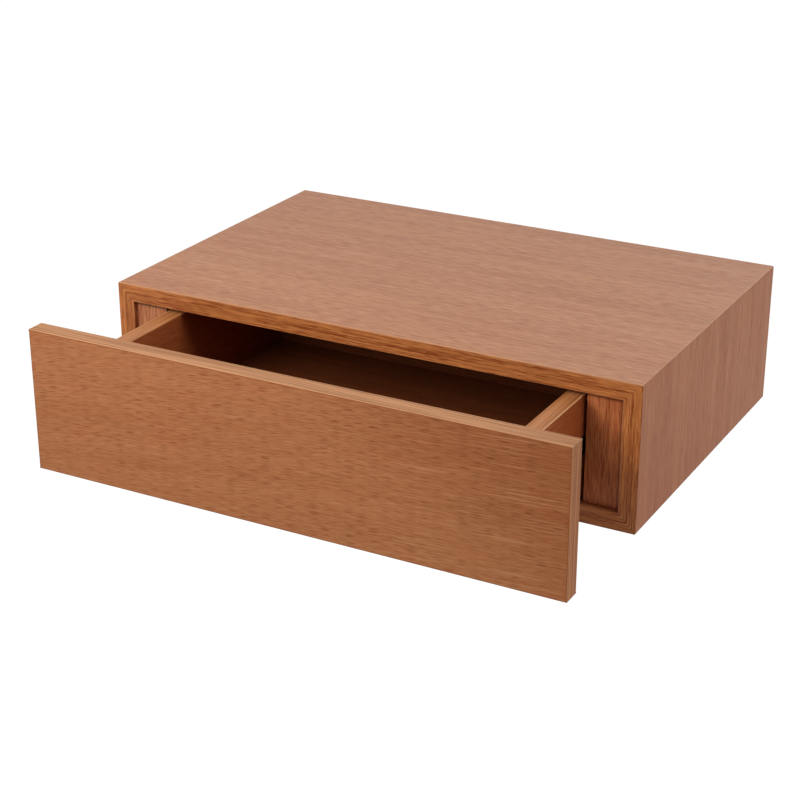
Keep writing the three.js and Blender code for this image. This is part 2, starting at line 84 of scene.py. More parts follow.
class Field:
    """A number, colour or vector that a material's nodes give for each point of a surface."""

    # The factor, the two colours and the result among the sockets of a Mix node
    mix_factor, mix_first, mix_second, mix_result = 0, 6, 7, 2

    def __init__(self, tree, socket=None):
        self.tree = tree
        self.socket = socket

    def node(self, kind, settings, sockets, output=0):
        """Adds a node with its settings, and gives its sockets a value, a link or a list of links."""
        node = self.tree.nodes.new(kind)
        for name, value in settings.items():
            setattr(node, name, value)
        for name, value in sockets.items():
            links = value if isinstance(value, list) else [value]
            for link in links:
                if isinstance(link, Field):
                    self.tree.links.new(link.socket, node.inputs[name])
                else:
                    node.inputs[name].default_value = link
        if isinstance(output, tuple):
            return [Field(self.tree, node.outputs[one]) for one in output]
        return Field(self.tree, node.outputs[output])

    def math(self, operation, other=0.0):
        return self.node("ShaderNodeMath", {"operation": operation}, {0: self, 1: other})

    def __add__(self, other):
        return self.math("ADD", other)

    __radd__ = __add__

    def __sub__(self, other):
        return self.math("SUBTRACT", other)

    def __rsub__(self, other):
        return self.node("ShaderNodeMath", {"operation": "SUBTRACT"}, {0: other, 1: self})

    def __mul__(self, other):
        return self.math("MULTIPLY", other)

    __rmul__ = __mul__

    def __truediv__(self, other):
        return self.math("DIVIDE", other)

    def rise(self, low, high):
        """0 below low and 1 above high, with a smooth step between; low may be the larger."""
        sockets = {"Value": self, "From Min": low, "From Max": high}
        return self.node("ShaderNodeMapRange", {"interpolation_type": "SMOOTHSTEP"}, sockets)

    def mix(self, way, factor, first, second):
        settings = {"data_type": "RGBA", "blend_type": way}
        sockets = {self.mix_factor: factor, self.mix_first: first, self.mix_second: second}
        return self.node("ShaderNodeMix", settings, sockets, self.mix_result)

    def blend(self, first, second):
        """The first colour where this field is 0 and the second where it is 1."""
        return self.mix("MIX", self, first, second)

    def tint(self, first, second):
        """The first colour where this field is 0, and multiplied by the second where it is 1."""
        return self.mix("MULTIPLY", self, first, second)

    def times(self, colour):
        """This colour multiplied by another."""
        return self.mix("MULTIPLY", 1.0, self, colour)


# Lamps, sky and floor
# A soft white room: one broad lamp near the front, weaker wide ones at the right, behind and at
# the left, an even white sky, and a pale floor that keeps the box's shadow.
floor_drop = 0.46
floor_reach = 30.0
floor_grey = (0.45, 0.45, 0.45, 1.0)
floor_grey_seen = (0.9, 0.9, 0.9, 1.0)
floor_glow_strength = 1.08
floor_glow_share = 0.85
sky_strength = 0.27
key_place = Vector((-0.35, -1.25, 0.75))
key_aim = Vector((0.0, -0.40, 0.02))
key_size = 0.6
key_power = 12.7
white = (1.0, 1.0, 1.0, 1.0)


def seen_straight(start):
    """1 where a ray comes from the camera, or by way of a mirror or glass."""
    rays = ("Is Camera Ray", "Is Glossy Ray", "Is Transmission Ray")
    camera_ray, glossy_ray, through_ray = start.node("ShaderNodeLightPath", {}, {}, rays)
    return camera_ray.math("MAXIMUM", glossy_ray).math("MAXIMUM", through_ray)


world = bpy.data.worlds.new("soft_room")
world.use_nodes = True
bpy.context.scene.world = world
sky = Field(world.node_tree)
sky_level = seen_straight(sky) * (1.0 - sky_strength) + sky_strength
backdrop = sky.node("ShaderNodeBackground", {}, {"Color": white, "Strength": sky_level})
world.node_tree.links.new(backdrop.socket, world.node_tree.nodes["World Output"].inputs["Surface"])

key_data = bpy.data.lights.new("key_lamp", "AREA")
key_data.energy = key_power
key_data.size = key_size
key_lamp = bpy.data.objects.new("key_lamp", key_data)
key_lamp.location = key_place
key_lamp.rotation_euler = (key_place - key_aim).to_track_quat("Z", "Y").to_euler()
key_lamp.visible_camera = False
bpy.context.collection.objects.link(key_lamp)

for lamp_name, strength, azimuth, elevation, spread in (
    ("right_lamp", 1.0, 86, 25, 20),
    ("back_lamp", 1.5, 160, 35, 60),
    ("left_lamp", 0.3, -95, 30, 60),
):
    lamp_data = bpy.data.lights.new(lamp_name, "SUN")
    lamp_data.energy = strength
    lamp_data.angle = math.radians(spread)
    lamp = bpy.data.objects.new(lamp_name, lamp_data)
    turn = math.radians(azimuth)
    tilt = math.radians(elevation)
    towards = Vector((math.sin(turn) * math.cos(tilt), -math.cos(turn) * math.cos(tilt), math.sin(tilt)))
    lamp.rotation_euler = towards.to_track_quat("Z", "Y").to_euler()
    bpy.context.collection.objects.link(lamp)

floor_level = cad_box[0].z - floor_drop
floor_mesh = bpy.data.meshes.new("floor")
floor_mesh.from_pydata(
    [(x * floor_reach, y * floor_reach, floor_level) for x, y in ((-1, -1), (1, -1), (1, 1), (-1, 1))],
    [], [(0, 1, 2, 3)],
)
floor = bpy.data.objects.new("floor", floor_mesh)
bpy.context.collection.objects.link(floor)
floor_material = bpy.data.materials.new("pale_floor")
floor_material.use_nodes = True
floor_start = Field(floor_material.node_tree)
floor_straight = seen_straight(floor_start)
floor_colour = floor_straight.blend(floor_grey, floor_grey_seen)
floor_diffuse = floor_start.node("ShaderNodeBsdfDiffuse", {}, {"Color": floor_colour})
floor_glow = floor_start.node("ShaderNodeEmission", {}, {"Color": white, "Strength": floor_glow_strength})
floor_share = floor_straight * floor_glow_share
floor_lit = floor_start.node("ShaderNodeMixShader", {}, {0: floor_share, 1: floor_diffuse, 2: floor_glow})
under_side = floor_start.node("ShaderNodeNewGeometry", {}, {}, "Backfacing")
clear = floor_start.node("ShaderNodeBsdfTransparent", {}, {})
floor_surface = floor_start.node("ShaderNodeMixShader", {}, {0: under_side, 1: floor_lit, 2: clear})
floor_output = floor_material.node_tree.nodes["Material Output"]
floor_material.node_tree.links.new(floor_surface.socket, floor_output.inputs["Surface"])
floor.data.materials.append(floor_material)


# Boards of the box
# Four mitred boards of particle board with beech veneer on both faces: the top and bottom
# with the grain from left to right, the sides with it upright. Satin clear lacquer.
def tone(code):
    """The linear colour that a screen shows as this #rrggbb code."""
    shares = [int(code[start:start + 2], 16) / 255 for start in (1, 3, 5)]
    return tuple(c / 12.92 if c <= 0.04045 else ((c + 0.055) / 1.055) ** 2.4 for c in shares) + (1.0,)


def box_mm(name):
    """The low and high corners of a CAD node, in mm."""
    low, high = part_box(name)
    return low * 1000, high * 1000


def new_surface(name):
    """A material, its places in mm along X, Y and Z, and its shader."""
    material = bpy.data.materials.new(name)
    material.use_nodes = True
    start = Field(material.node_tree)
    place = start.node("ShaderNodeTexCoord", {}, {}, "Object")
    place_mm = place.node("ShaderNodeVectorMath", {"operation": "SCALE"}, {0: place, "Scale": 1000.0})
    x, y, z = place_mm.node("ShaderNodeSeparateXYZ", {}, {0: place_mm}, ("X", "Y", "Z"))
    return material, (x, y, z), material.node_tree.nodes["Principled BSDF"]


def noise(u, v, w, detail=2.0, roughness=0.55):
    """Cloudy noise from 0 to 1 with features about one unit across."""
    place = u.node("ShaderNodeCombineXYZ", {}, {0: u, 1: v, 2: w})
    return u.node(
        "ShaderNodeTexNoise", {"noise_dimensions": "3D"},
        {"Vector": place, "Scale": 1.0, "Detail": detail, "Roughness": roughness},
    )


def clouds(x, y, z, size, detail=2.0):
    """Noise with features of about this size in mm, the same along every axis."""
    return noise(x / size, y / size, z / size, detail)


def streaks(along, across, layer, length, width, detail=2.0, roughness=0.55):
    """Noise drawn out along the grain, with features about this long and wide in mm."""
    return noise(along / length, across / width, layer, detail, roughness)


def dress(surface, colour, roughness, relief, relief_mm, sheen=0.15):
    """Links the varying colour and roughness to the shader, and a relief in 0 to 1 as bump."""
    tree = colour.tree
    surface.inputs["Specular IOR Level"].default_value = sheen
    tree.links.new(colour.socket, surface.inputs["Base Color"])
    tree.links.new(roughness.socket, surface.inputs["Roughness"])
    bump = relief.node(
        "ShaderNodeBump", {}, {"Height": relief, "Distance": relief_mm / 1000.0, "Strength": 1.0},
    )
    tree.links.new(bump.socket, surface.inputs["Normal"])


def give(material, *names):
    """The CAD nodes of these names show this material all over."""
    for name in names:
        nodes[name].data.materials.clear()
        nodes[name].data.materials.append(material)


def beech(
    along, across, depth, tones, seed, slant=0.0, arch=0.0, bend=8.0, figure=0.9, ripple=0.4,
    strokes=0.3, stroke_length=13.0, stroke_width=0.8, rosy=0.6,
):
    """Beech in mm places: faint bands and lines, fine ripples, short dark strokes. Colour and relief."""
    light, dark, stroke_tone = [tone(code) for code in tones]
    layer = depth / 30.0 + seed

    # The grain rises by slant, curves by arch and wanders by bend
    drift = streaks(along, across, layer, length=260.0, width=90.0, detail=1.0)
    level = across + along * slant + along * along * arch + (drift - 0.5) * bend
    sway = streaks(along, level, layer + 4.0, length=17.0, width=3.5, detail=1.0) - 0.5
    fine_level = level + sway * 1.5

    # Light and dark ground: wide bands, patches, lines and ripples
    bands = streaks(along, level, layer, length=420.0, width=14.0).rise(0.30, 0.70)
    patches = streaks(along, level, layer + 9.0, length=60.0, width=6.0, detail=1.0).rise(0.32, 0.68)
    lines = streaks(along, level + sway, layer + 7.0, length=80.0, width=1.6, roughness=0.65)
    lines = lines.rise(0.32, 0.68)
    ripples = streaks(along, fine_level, layer + 13.0, length=13.0, width=0.8, detail=0.0)
    ripples = ripples.rise(0.25, 0.75)
    broad_shade = (bands * 0.40 + patches * 0.10 + lines * 0.50 - 0.5) * figure
    shade = broad_shade + (ripples - 0.5) * ripple + 0.5
    ground = shade.blend(light, dark)
    blush = streaks(along, level, layer + 21.0, length=70.0, width=7.0, detail=1.0).rise(0.46, 0.68)
    ground = (blush * rosy).tint(ground, (1.02, 0.90, 0.86, 1.0))

    # Short dark strokes, in crowds
    crowd = streaks(along, level, layer + 27.0, length=110.0, width=30.0, detail=1.0).rise(0.30, 0.70)
    stroke_noise = streaks(
        along, level + sway * 0.5, layer + 31.0, length=stroke_length, width=stroke_width, detail=0.0,
    )
    flecks = stroke_noise.rise(0.54, 0.68) * (crowd * 0.35 + 0.65)
    colour = (flecks * strokes).blend(ground, stroke_tone)
    return colour, 1.0 - flecks * 0.5 - ripples * 0.3


def particle_board(x, y, z):
    """Pressed chips of pale wood, as on the raw edge of a board. Gives colour and relief."""
    chip_place = x.node("ShaderNodeCombineXYZ", {}, {0: x / 2.6, 1: y / 1.6, 2: z / 1.1})
    distance, chip_colour = x.node(
        "ShaderNodeTexVoronoi", {"voronoi_dimensions": "3D"}, {"Vector": chip_place, "Scale": 1.0},
        ("Distance", "Color"),
    )
    chip_share = x.node("ShaderNodeSeparateColor", {}, {0: chip_colour})
    grit = clouds(x, y, z, size=0.8)
    chips = chip_share.blend(tone("#8d6a45"), tone("#d9bd92"))
    colour = (distance.rise(0.35, 0.75) * 0.6).blend(chips, tone("#6e4f33"))
    relief = 1.0 - distance.rise(0.3, 0.8) * 0.7 - grit * 0.3
    return colour, relief


veneer_mm = 0.6
veneer_blur_mm = 0.05
veneer_relief_mm = 0.02
box_low = box_mm("bottom_panel")[0]
box_high = box_mm("top_panel")[1]
board_mm = box_high.z - box_mm("top_panel")[0].z
core_start_mm = (veneer_mm - veneer_blur_mm, veneer_mm + veneer_blur_mm)
core_end_mm = (board_mm - veneer_mm + veneer_blur_mm, board_mm - veneer_mm - veneer_blur_mm)
top_tones = ("#ae7952", "#915731", "#71381e")
side_tones = ("#ae734c", "#91522c", "#703a1c")
# Tint of the painted shade on the sides, towards their low front
low_front_shade_tint = (0.88, 0.75, 0.62, 1.0)
for board, sheen, seed, upright in (
    ("top_panel", 0.35, 2.0, False),
    ("bottom_panel", 0.35, 5.0, False),
    ("left_side_panel", 0.13, 8.0, True),
    ("right_side_panel", 0.13, 11.0, True),
):
    material, (x, y, z), surface = new_surface(f"{board}_veneer")
    depth = {
        "top_panel": box_high.z - z,
        "bottom_panel": z - box_low.z,
        "left_side_panel": x - box_low.x,
        "right_side_panel": box_high.x - x,
    }[board]
    if upright:
        colour, relief = beech(
            z, y, x, side_tones, seed, slant=0.012, bend=5.0, figure=0.9, ripple=0.5, strokes=0.2,
        )
        # Painted shade: the sides turn darker and warmer towards the low front, where less light reaches
        low_front_shade = (0.0 - z - y * 0.45).rise(20.0, 170.0)
        colour = low_front_shade.tint(colour, low_front_shade_tint)
    else:
        colour, relief = beech(
            x, y, z, top_tones, seed, slant=-0.01, bend=7.0, figure=1.0, ripple=0.9, strokes=0.3,
            rosy=0.4,
        )
    in_core = depth.rise(*core_start_mm) * depth.rise(*core_end_mm)
    chip_colour, chip_relief = particle_board(x, y, z)
    full_colour = in_core.blend(colour, chip_colour)
    full_relief = relief + in_core * (chip_relief - relief)
    satin = clouds(x, y, z, size=14.0) * 0.10 + 0.40
    dress(surface, full_colour, satin + in_core * 0.3, full_relief, veneer_relief_mm, sheen)
    give(material, board)


# Edging on the front of the box
# Solid beech strips glued round the front of the boards and mitred like a picture frame. Their
# lines follow the frame and turn its corners; the arrises are rounded and carry a painted highlight.
frame_high = box_mm("right_front_edging")[1]
frame_middle = (box_mm("left_front_edging")[0] + frame_high) / 2
frame_width = frame_high.x - box_mm("right_front_edging")[0].x
corner_bend = 2.5
line_wander_mm = 2.2
streak_inward_mm = 9.4
upper_arris_highlight_mm = (0.9, 0.3)
inner_arris_highlight_mm = (1.2, 0.5)
edging, (x, y, z), surface = new_surface("front_edging")
from_side = frame_high.x - x.math("ABSOLUTE")
from_ends = (frame_high.z - frame_middle.z) - (z - frame_middle.z).math("ABSOLUTE")
around = from_side + from_ends
inward = x.node(
    "ShaderNodeMath", {"operation": "SMOOTH_MIN"}, {0: from_side, 1: from_ends, 2: corner_bend},
)
side_layer = x / 90.0 + z / 90.0
wander = noise(around / 70.0, x / 300.0, z / 300.0, detail=1.0) * line_wander_mm
sway = noise(around / 7.0, inward / 2.5, side_layer, detail=1.0)
line_level = inward + wander + sway
lines = streaks(around, line_level, x / 400.0, length=80.0, width=1.5, roughness=0.7).rise(0.42, 0.58)
threads = streaks(around, line_level, side_layer, length=14.0, width=0.8, detail=1.0).rise(0.36, 0.64)
from_streak = (inward + wander - streak_inward_mm).math("ABSOLUTE")
streak = from_streak.rise(2.0, 0.5) * noise(around / 90.0, x / 400.0, 3.0)
shade = lines * 0.5 + threads * 0.45 + streak * 0.4
ground = shade.blend(tone("#c17943"), tone("#7f3e1b"))
honey = streaks(around, line_level, x / 200.0, length=15.0, width=1.6, detail=1.0).rise(0.56, 0.68)
ground = (honey * 0.35).blend(ground, tone("#bb7e45"))
# Painted highlight: the rounded upper and inner arrises are painted paler, as where they catch the light
upper_arris_highlight = z.rise(*[frame_high.z - inset for inset in upper_arris_highlight_mm])
inner_arris_highlight = inward.rise(*[frame_width - inset for inset in inner_arris_highlight_mm])
colour = (upper_arris_highlight * 0.7 + inner_arris_highlight * 0.35).blend(ground, tone("#bd8760"))
satin = noise(around / 20.0, inward / 4.0, y / 4.0) * 0.10 + 0.36
dress(surface, colour, satin, 1.0 - threads * 0.5 - lines * 0.3, relief_mm=0.05)
give(edging, "top_front_edging", "bottom_front_edging", "left_front_edging", "right_front_edging")


# Fillers beside the drawer
# Upright slips of beech between the box side and the drawer, set back behind the edging, with
# the grain upright, many short dark flecks, and painted shade in the gaps where they meet the box.
upper_shade_mm = (4.6, 2.8)
lower_shade_mm = (1.3, 0.3)
for side, seed, filler_tones, side_shade_mm in (
    ("left", 3.0, ("#c0825a", "#9a5c3a", "#6c3420"), 0.4),
    ("right", 6.0, ("#c07749", "#9a532d", "#642a12"), 4.6),
):
    material, (x, y, z), surface = new_surface(f"{side}_filler_beech")
    colour, relief = beech(
        z, x, y, filler_tones, seed, slant=0.02, bend=3.0, figure=0.4, ripple=0.7, strokes=0.5,
    )
    low, high = box_mm(f"{side}_filler")
    from_side = high.x - x if side == "right" else x - low.x
    # Painted shade: the filler darkens along its edges in the recess, widest at the right side and under
    # the top
    side_shade = from_side.rise(side_shade_mm, side_shade_mm * 0.6)
    upper_shade = z.rise(*[high.z - inset for inset in upper_shade_mm])
    lower_shade = z.rise(*[low.z + inset for inset in lower_shade_mm])
    gap_shade = side_shade.math("MAXIMUM", upper_shade).math("MAXIMUM", lower_shade)
    colour = (gap_shade * 0.45).blend(colour, tone("#40190c"))
    satin = noise(x / 9.0, y / 9.0, z / 20.0) * 0.10 + 0.40
    dress(surface, colour, satin, relief, relief_mm=0.06)
    give(material, f"{side}_filler")


# Back panel
# A thin pressed-fibre board let into a groove round the inside of the box. Its smooth face
# is toward the drawer; fine fibres and specks show on it.
panel, (x, y, z), surface = new_surface("pressed_fibre_board")
mottle = clouds(x, y, z, size=26.0, detail=4.0)
fibres = noise(x / 1.1, y / 1.1, z / 0.5)
colour = mottle.rise(0.35, 0.65).blend(tone("#b98f66"), tone("#a57c55"))
colour = (fibres.rise(0.55, 0.75) * 0.5).blend(colour, tone("#86603d"))
dress(surface, colour, mottle * 0.1 + 0.62, fibres, relief_mm=0.08)
give(panel, "back_panel")


# Hanging rails
# Two lengths of beech plywood with a 45 degree bevel each. One is dowelled between the box
# sides, the other is screwed to the wall through four countersunk holes and carries it.
ply_count = 9
wall_rail_low, wall_rail_high = box_mm("wall_rail")
ply_mm = (wall_rail_high.y - wall_rail_low.y) / ply_count
glue_shares = (0.10, 0.02)
skin_mm = (0.1, 0.01)
plywood, (x, y, z), surface = new_surface("beech_plywood")
ply_place = y / ply_mm + 0.08 * noise(x / 60.0, z / 30.0, y / 30.0)
ply_number = ply_place.math("FLOOR")
cross_ply = ply_number.math("PINGPONG", 1.0)
in_ply = ply_place - ply_number
long_grain = streaks(x, z, ply_number * 3.7, length=40.0, width=0.9)
end_grain = streaks(x, z, ply_number * 3.7, length=0.5, width=0.5, detail=1.0)
long_colour = long_grain.rise(0.35, 0.7).blend(tone("#dcb88b"), tone("#c59c6b"))
end_colour = end_grain.rise(0.40, 0.65).blend(tone("#b98d5c"), tone("#8f6539"))
colour = cross_ply.blend(long_colour, end_colour)
glue_line = in_ply.rise(*glue_shares) + in_ply.rise(*[1.0 - share for share in glue_shares])
faces = 0.0
for rail in ("hanging_rail", "wall_rail"):
    low, high = box_mm(rail)
    near_front = y.rise(*[low.y + skin for skin in skin_mm])
    near_back = y.rise(*[high.y - skin for skin in skin_mm])
    faces = faces + near_front + near_back
inside = 1.0 - faces.math("MINIMUM", 1.0)
colour = (glue_line * inside * 0.7).blend(colour, tone("#6b4524"))
relief = 1.0 - cross_ply * 0.5 * inside - long_grain * 0.3
dress(surface, colour, long_grain * 0.1 + 0.60, relief, relief_mm=0.08)
give(plywood, "hanging_rail", "wall_rail")


# Dowels
# Fluted beech dowels with chamfered ends, glued half into each board: four hold the hanging
# rail between the box sides, and eight hold the corners of the drawer box.
def sized_tree(name, **sizes):
    """A Geometry Nodes tree with an input geometry, an input of each named kind, and a material."""
    tree = bpy.data.node_groups.new(name, "GeometryNodeTree")
    kinds = {"places": "Geometry", **sizes, "material": "Material"}
    for size, kind in kinds.items():
        tree.interface.new_socket(size, in_out="INPUT", socket_type=f"NodeSocket{kind}")
    tree.interface.new_socket("made", in_out="OUTPUT", socket_type="NodeSocketGeometry")
    sockets = tree.nodes.new("NodeGroupInput").outputs
    return tree, {size: Field(tree, sockets[size]) for size in kinds}


def end_tree(geometry, material):
    """Ends a tree in Realize Instances and Set Material."""
    real = geometry.node("GeometryNodeRealizeInstances", {}, {"Geometry": geometry})
    painted = real.node("GeometryNodeSetMaterial", {}, {"Geometry": real, "Material": material})
    output = geometry.tree.nodes.new("NodeGroupOutput")
    geometry.tree.links.new(painted.socket, output.inputs["made"])


def stepped(index, values):
    """The first value at index 0, the second at index 1, and so on."""
    total = index * 0.0 + values[0]
    for number, (before, after) in enumerate(zip(values, values[1:])):
        total = total + index.math("GREATER_THAN", number + 0.5) * (after - before)
    return total


def swept(profile, stations):
    """A closed solid of a profile of radius 1 that runs along Z through (height, radius) stations."""
    line = profile.node("GeometryNodeMeshLine", {}, {"Count": len(stations)})
    index = profile.node("GeometryNodeInputIndex", {}, {})
    height = stepped(index, [station[0] for station in stations])
    place = profile.node("ShaderNodeCombineXYZ", {}, {2: height})
    raised = profile.node("GeometryNodeSetPosition", {}, {"Geometry": line, "Position": place})
    path = profile.node("GeometryNodeMeshToCurve", {}, {"Mesh": raised})
    radius = stepped(index, [station[1] for station in stations])
    return profile.node(
        "GeometryNodeCurveToMesh", {},
        {"Curve": path, "Profile Curve": profile, "Scale": radius, "Fill Caps": True},
    )


def at_places(part, places):
    """The part at each place, with its Z axis turned to the place's aim."""
    aim = part.node("GeometryNodeInputNamedAttribute", {"data_type": "FLOAT_VECTOR"}, {"Name": "aim"})
    turned = part.node("FunctionNodeAlignRotationToVector", {"axis": "Z"}, {"Vector": aim})
    sockets = {"Points": places, "Instance": part, "Rotation": turned}
    return part.node("GeometryNodeInstanceOnPoints", {}, sockets)


def make(name, tree, mesh, inputs, body, stands_for):
    """Runs the tree on a mesh and keeps what it makes as a plain piece, in the place of CAD nodes."""
    maker = bpy.data.objects.new(f"{name}_maker", mesh)
    bpy.context.collection.objects.link(maker)
    modifier = maker.modifiers.new("maker", "NODES")
    modifier.node_group = tree
    for socket in tree.interface.items_tree:
        if socket.name in inputs:
            modifier[socket.identifier] = inputs[socket.name]
    evaluated = maker.evaluated_get(bpy.context.evaluated_depsgraph_get())
    mesh = bpy.data.meshes.new_from_object(evaluated)
    mesh.materials.clear()
    mesh.materials.append(inputs["material"])
    mesh.polygons.foreach_set("material_index", [0] * len(mesh.polygons))
    piece = bpy.data.objects.new(name, mesh)
    bpy.context.collection.objects.link(piece)
    bpy.data.objects.remove(maker)
    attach(piece, body)
    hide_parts(*stands_for)


def places_of(name, aims):
    """A mesh with a point at the near end of each CAD node, and the way the node runs from there."""
    points = []
    for node_name, aim in aims.items():
        low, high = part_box(node_name)
        half = (high - low) / 2
        reach = Vector([a * h for a, h in zip(aim, half)])
        points.append((low + high) / 2 - reach)
    mesh = bpy.data.meshes.new(f"{name}_places")
    mesh.from_pydata(points, [], [])
    directions = mesh.attributes.new("aim", "FLOAT_VECTOR", "POINT")
    directions.data.foreach_set("vector", [float(share) for aim in aims.values() for share in aim])
    return mesh


def length_and_radius(node_name, aim):
    """How long a CAD node is along the way it runs, and half its size across."""
    low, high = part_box(node_name)
    size = high - low
    along = max(range(3), key=lambda axis: abs(aim[axis]))
    return size[along], size[(along + 1) % 3] / 2


outward = {"left": (-1, 0, 0), "right": (1, 0, 0)}
inward_aim = {"left": (1, 0, 0), "right": (-1, 0, 0)}
raw_beech, (x, y, z), surface = new_surface("raw_beech")
fibres = noise(x / 11.0, y / 0.5, z / 0.5)
pores = noise(x / 1.8, y / 0.25, z / 0.25, detail=1.0).rise(0.62, 0.75)
colour = fibres.rise(0.35, 0.65).blend(tone("#dcb98b"), tone("#c79d6c"))
colour = (pores * 0.5).blend(colour, tone("#8f6843"))
dress(surface, colour, fibres * 0.1 + 0.66, 1.0 - pores, relief_mm=0.03)

flute_count = 16
flute_root_share = 0.93
dowel_chamfer = 0.001
dowel_tree, size = sized_tree("fluted_dowel", length="Float", radius="Float", chamfer="Float")
star = size["length"].node("GeometryNodeCurveStar", {}, {
    "Points": flute_count, "Inner Radius": flute_root_share, "Outer Radius": 1.0, "Twist": 0.0,
})
slim = size["radius"] - size["chamfer"]
dowel = swept(star, [
    (0.0, slim), (size["chamfer"], size["radius"]),
    (size["length"] - size["chamfer"], size["radius"]), (size["length"], slim),
])
end_tree(at_places(dowel, size["places"]), size["material"])

rail_dowels = {f"{side}_rail_dowel_{i}": inward_aim[side] for side in ("left", "right") for i in (1, 2)}
drawer_dowels = {
    f"{side}_{end}_drawer_dowel_{i}": inward_aim[side]
    for side in ("left", "right") for end in ("front", "back") for i in (1, 2)
}
for name, aims, body in (
    ("rail_dowels", rail_dowels, "carcass"),
    ("drawer_dowels", drawer_dowels, "drawer"),
):
    length, radius = length_and_radius(*next(iter(aims.items())))
    inputs = {"length": length, "radius": radius, "chamfer": dowel_chamfer, "material": raw_beech}
    make(name, dowel_tree, places_of(name, aims), inputs, body, aims)


# Bottom, sides, front and back of the drawer box, and the panels that carry the runners
# Boards with a brown veneer inside and out, the grain along each board, and a paler band on
# the upper edges. The bottom slides into grooves.
box_tones = ("#a1572e", "#7e3c1b", "#5a2810")
band_tones = (tone("#b17648"), tone("#874e28"))
band_low = box_mm("left_drawer_side_edging")[0].z
band_blur_mm = 0.1
side_arris_highlight_mm = (1.2, 0.3)
# Painted shade: the drawer's bottom and back are tinted darker, as they lie in shadow inside the box
painted_shade_tints = {"drawer_bottom": (0.69, 0.75, 0.84, 1.0), "drawer_box_back": (0.62, 0.72, 0.85, 1.0)}


def lengthwise_band(along, across, depth, light, dark, seed):
    """A strip of beech edging with lines along it, in mm places. Gives colour and relief."""
    level = across + streaks(along, across, depth / 9.0 + seed, length=130.0, width=9.0) * 1.5
    lines = streaks(along, level, depth / 30.0 + seed, length=210.0, width=1.9)
    threads = streaks(along, level, depth / 30.0 + seed, length=45.0, width=0.6, detail=1.0)
    colour = (lines.rise(0.36, 0.64) * 0.65 + threads.rise(0.40, 0.66) * 0.35).blend(light, dark)
    return colour, 1.0 - threads * 0.6 - lines * 0.4


for board, run, face, seed in (
    ("left_drawer_side", "y", "z", 21.0),
    ("right_drawer_side", "y", "z", 24.0),
    ("drawer_box_front", "x", "z", 27.0),
    ("drawer_box_back", "x", "z", 30.0),
    ("drawer_bottom", "x", "y", 33.0),
    ("left_runner_panel", "y", "z", 36.0),
    ("right_runner_panel", "y", "z", 39.0),
):
    material, (x, y, z), surface = new_surface(f"{board}_veneer")
    by_name = {"x": x, "y": y, "z": z}
    third = (set(by_name) - {run, face}).pop()
    colour, relief = beech(
        by_name[run], by_name[face], by_name[third], box_tones, seed, bend=6.0, figure=0.6, strokes=0.3,
    )
    # The bottom and back take their painted shade tint
    if board in painted_shade_tints:
        colour = colour.times(painted_shade_tints[board])
    if board in ("drawer_box_front", "drawer_box_back"):
        band_colour, band_relief = lengthwise_band(x, y, z, *band_tones, seed)
        on_top = z.rise(band_low - band_blur_mm, band_low + band_blur_mm)
        colour = on_top.blend(colour, band_colour)
        relief = relief + on_top * (band_relief - relief)
    satin = clouds(x, y, z, size=12.0) * 0.10 + 0.46
    dress(surface, colour, satin, relief, relief_mm=0.05)
    give(material, board)

for side, seed in (("left", 42.0), ("right", 45.0)):
    material, (x, y, z), surface = new_surface(f"{side}_drawer_side_band")
    colour, relief = lengthwise_band(y, x, z, *band_tones, seed)
    low, high = box_mm(f"{side}_drawer_side_edging")
    outer_x = low.x if side == "left" else high.x
    to_arris = (x - outer_x).math("ABSOLUTE")
    # Painted highlight: the band's outer arris is painted paler
    colour = (to_arris.rise(*side_arris_highlight_mm) * 0.6).blend(colour, tone("#d8a673"))
    satin = noise(y / 20.0, x / 4.0, z / 4.0) * 0.1 + 0.38
    dress(surface, colour, satin, relief, relief_mm=0.05)
    give(material, f"{side}_drawer_side_edging")


# Drawer front
# One board that covers the front of the box, in flat-cut beech: the grain runs from left to
# right and rises a little, with short dark flecks, and the right end has fine pale lines.
front_tones = ("#b1774f", "#93562f", "#703210")
upper_right_shade_tint = (0.76, 0.64, 0.54, 1.0)
front_face, (x, y, z), surface = new_surface("front_veneer")
colour, relief = beech(
    x, z, y, front_tones, 14.0, slant=-0.083, arch=0.000125, bend=10.0, figure=0.45, ripple=0.38,
    strokes=0.61, stroke_length=11.0, stroke_width=0.6, rosy=0.4,
)
front_low, front_high = box_mm("drawer_front")
above_middle = z - (front_low.z + front_high.z) / 2
# Painted shade, partly the veneer's own tone: the face turns darker and warmer towards the upper right
upper_right_shade = (x * 0.8 + above_middle * 1.2).rise(40.0, 260.0)
colour = upper_right_shade.tint(colour, upper_right_shade_tint)
pale_lines = streaks(x, z - x * 0.05, y / 30.0, length=80.0, width=1.3, detail=0.0).rise(0.62, 0.74)
pale_lines = pale_lines * x.rise(-20.0, 160.0)
colour = (pale_lines * 0.40).blend(colour, tone("#b9835a"))
satin = noise(x / 16.0, y / 16.0, z / 10.0) * 0.10 + 0.42
dress(surface, colour, satin, relief, veneer_relief_mm)
give(front_face, "drawer_front")

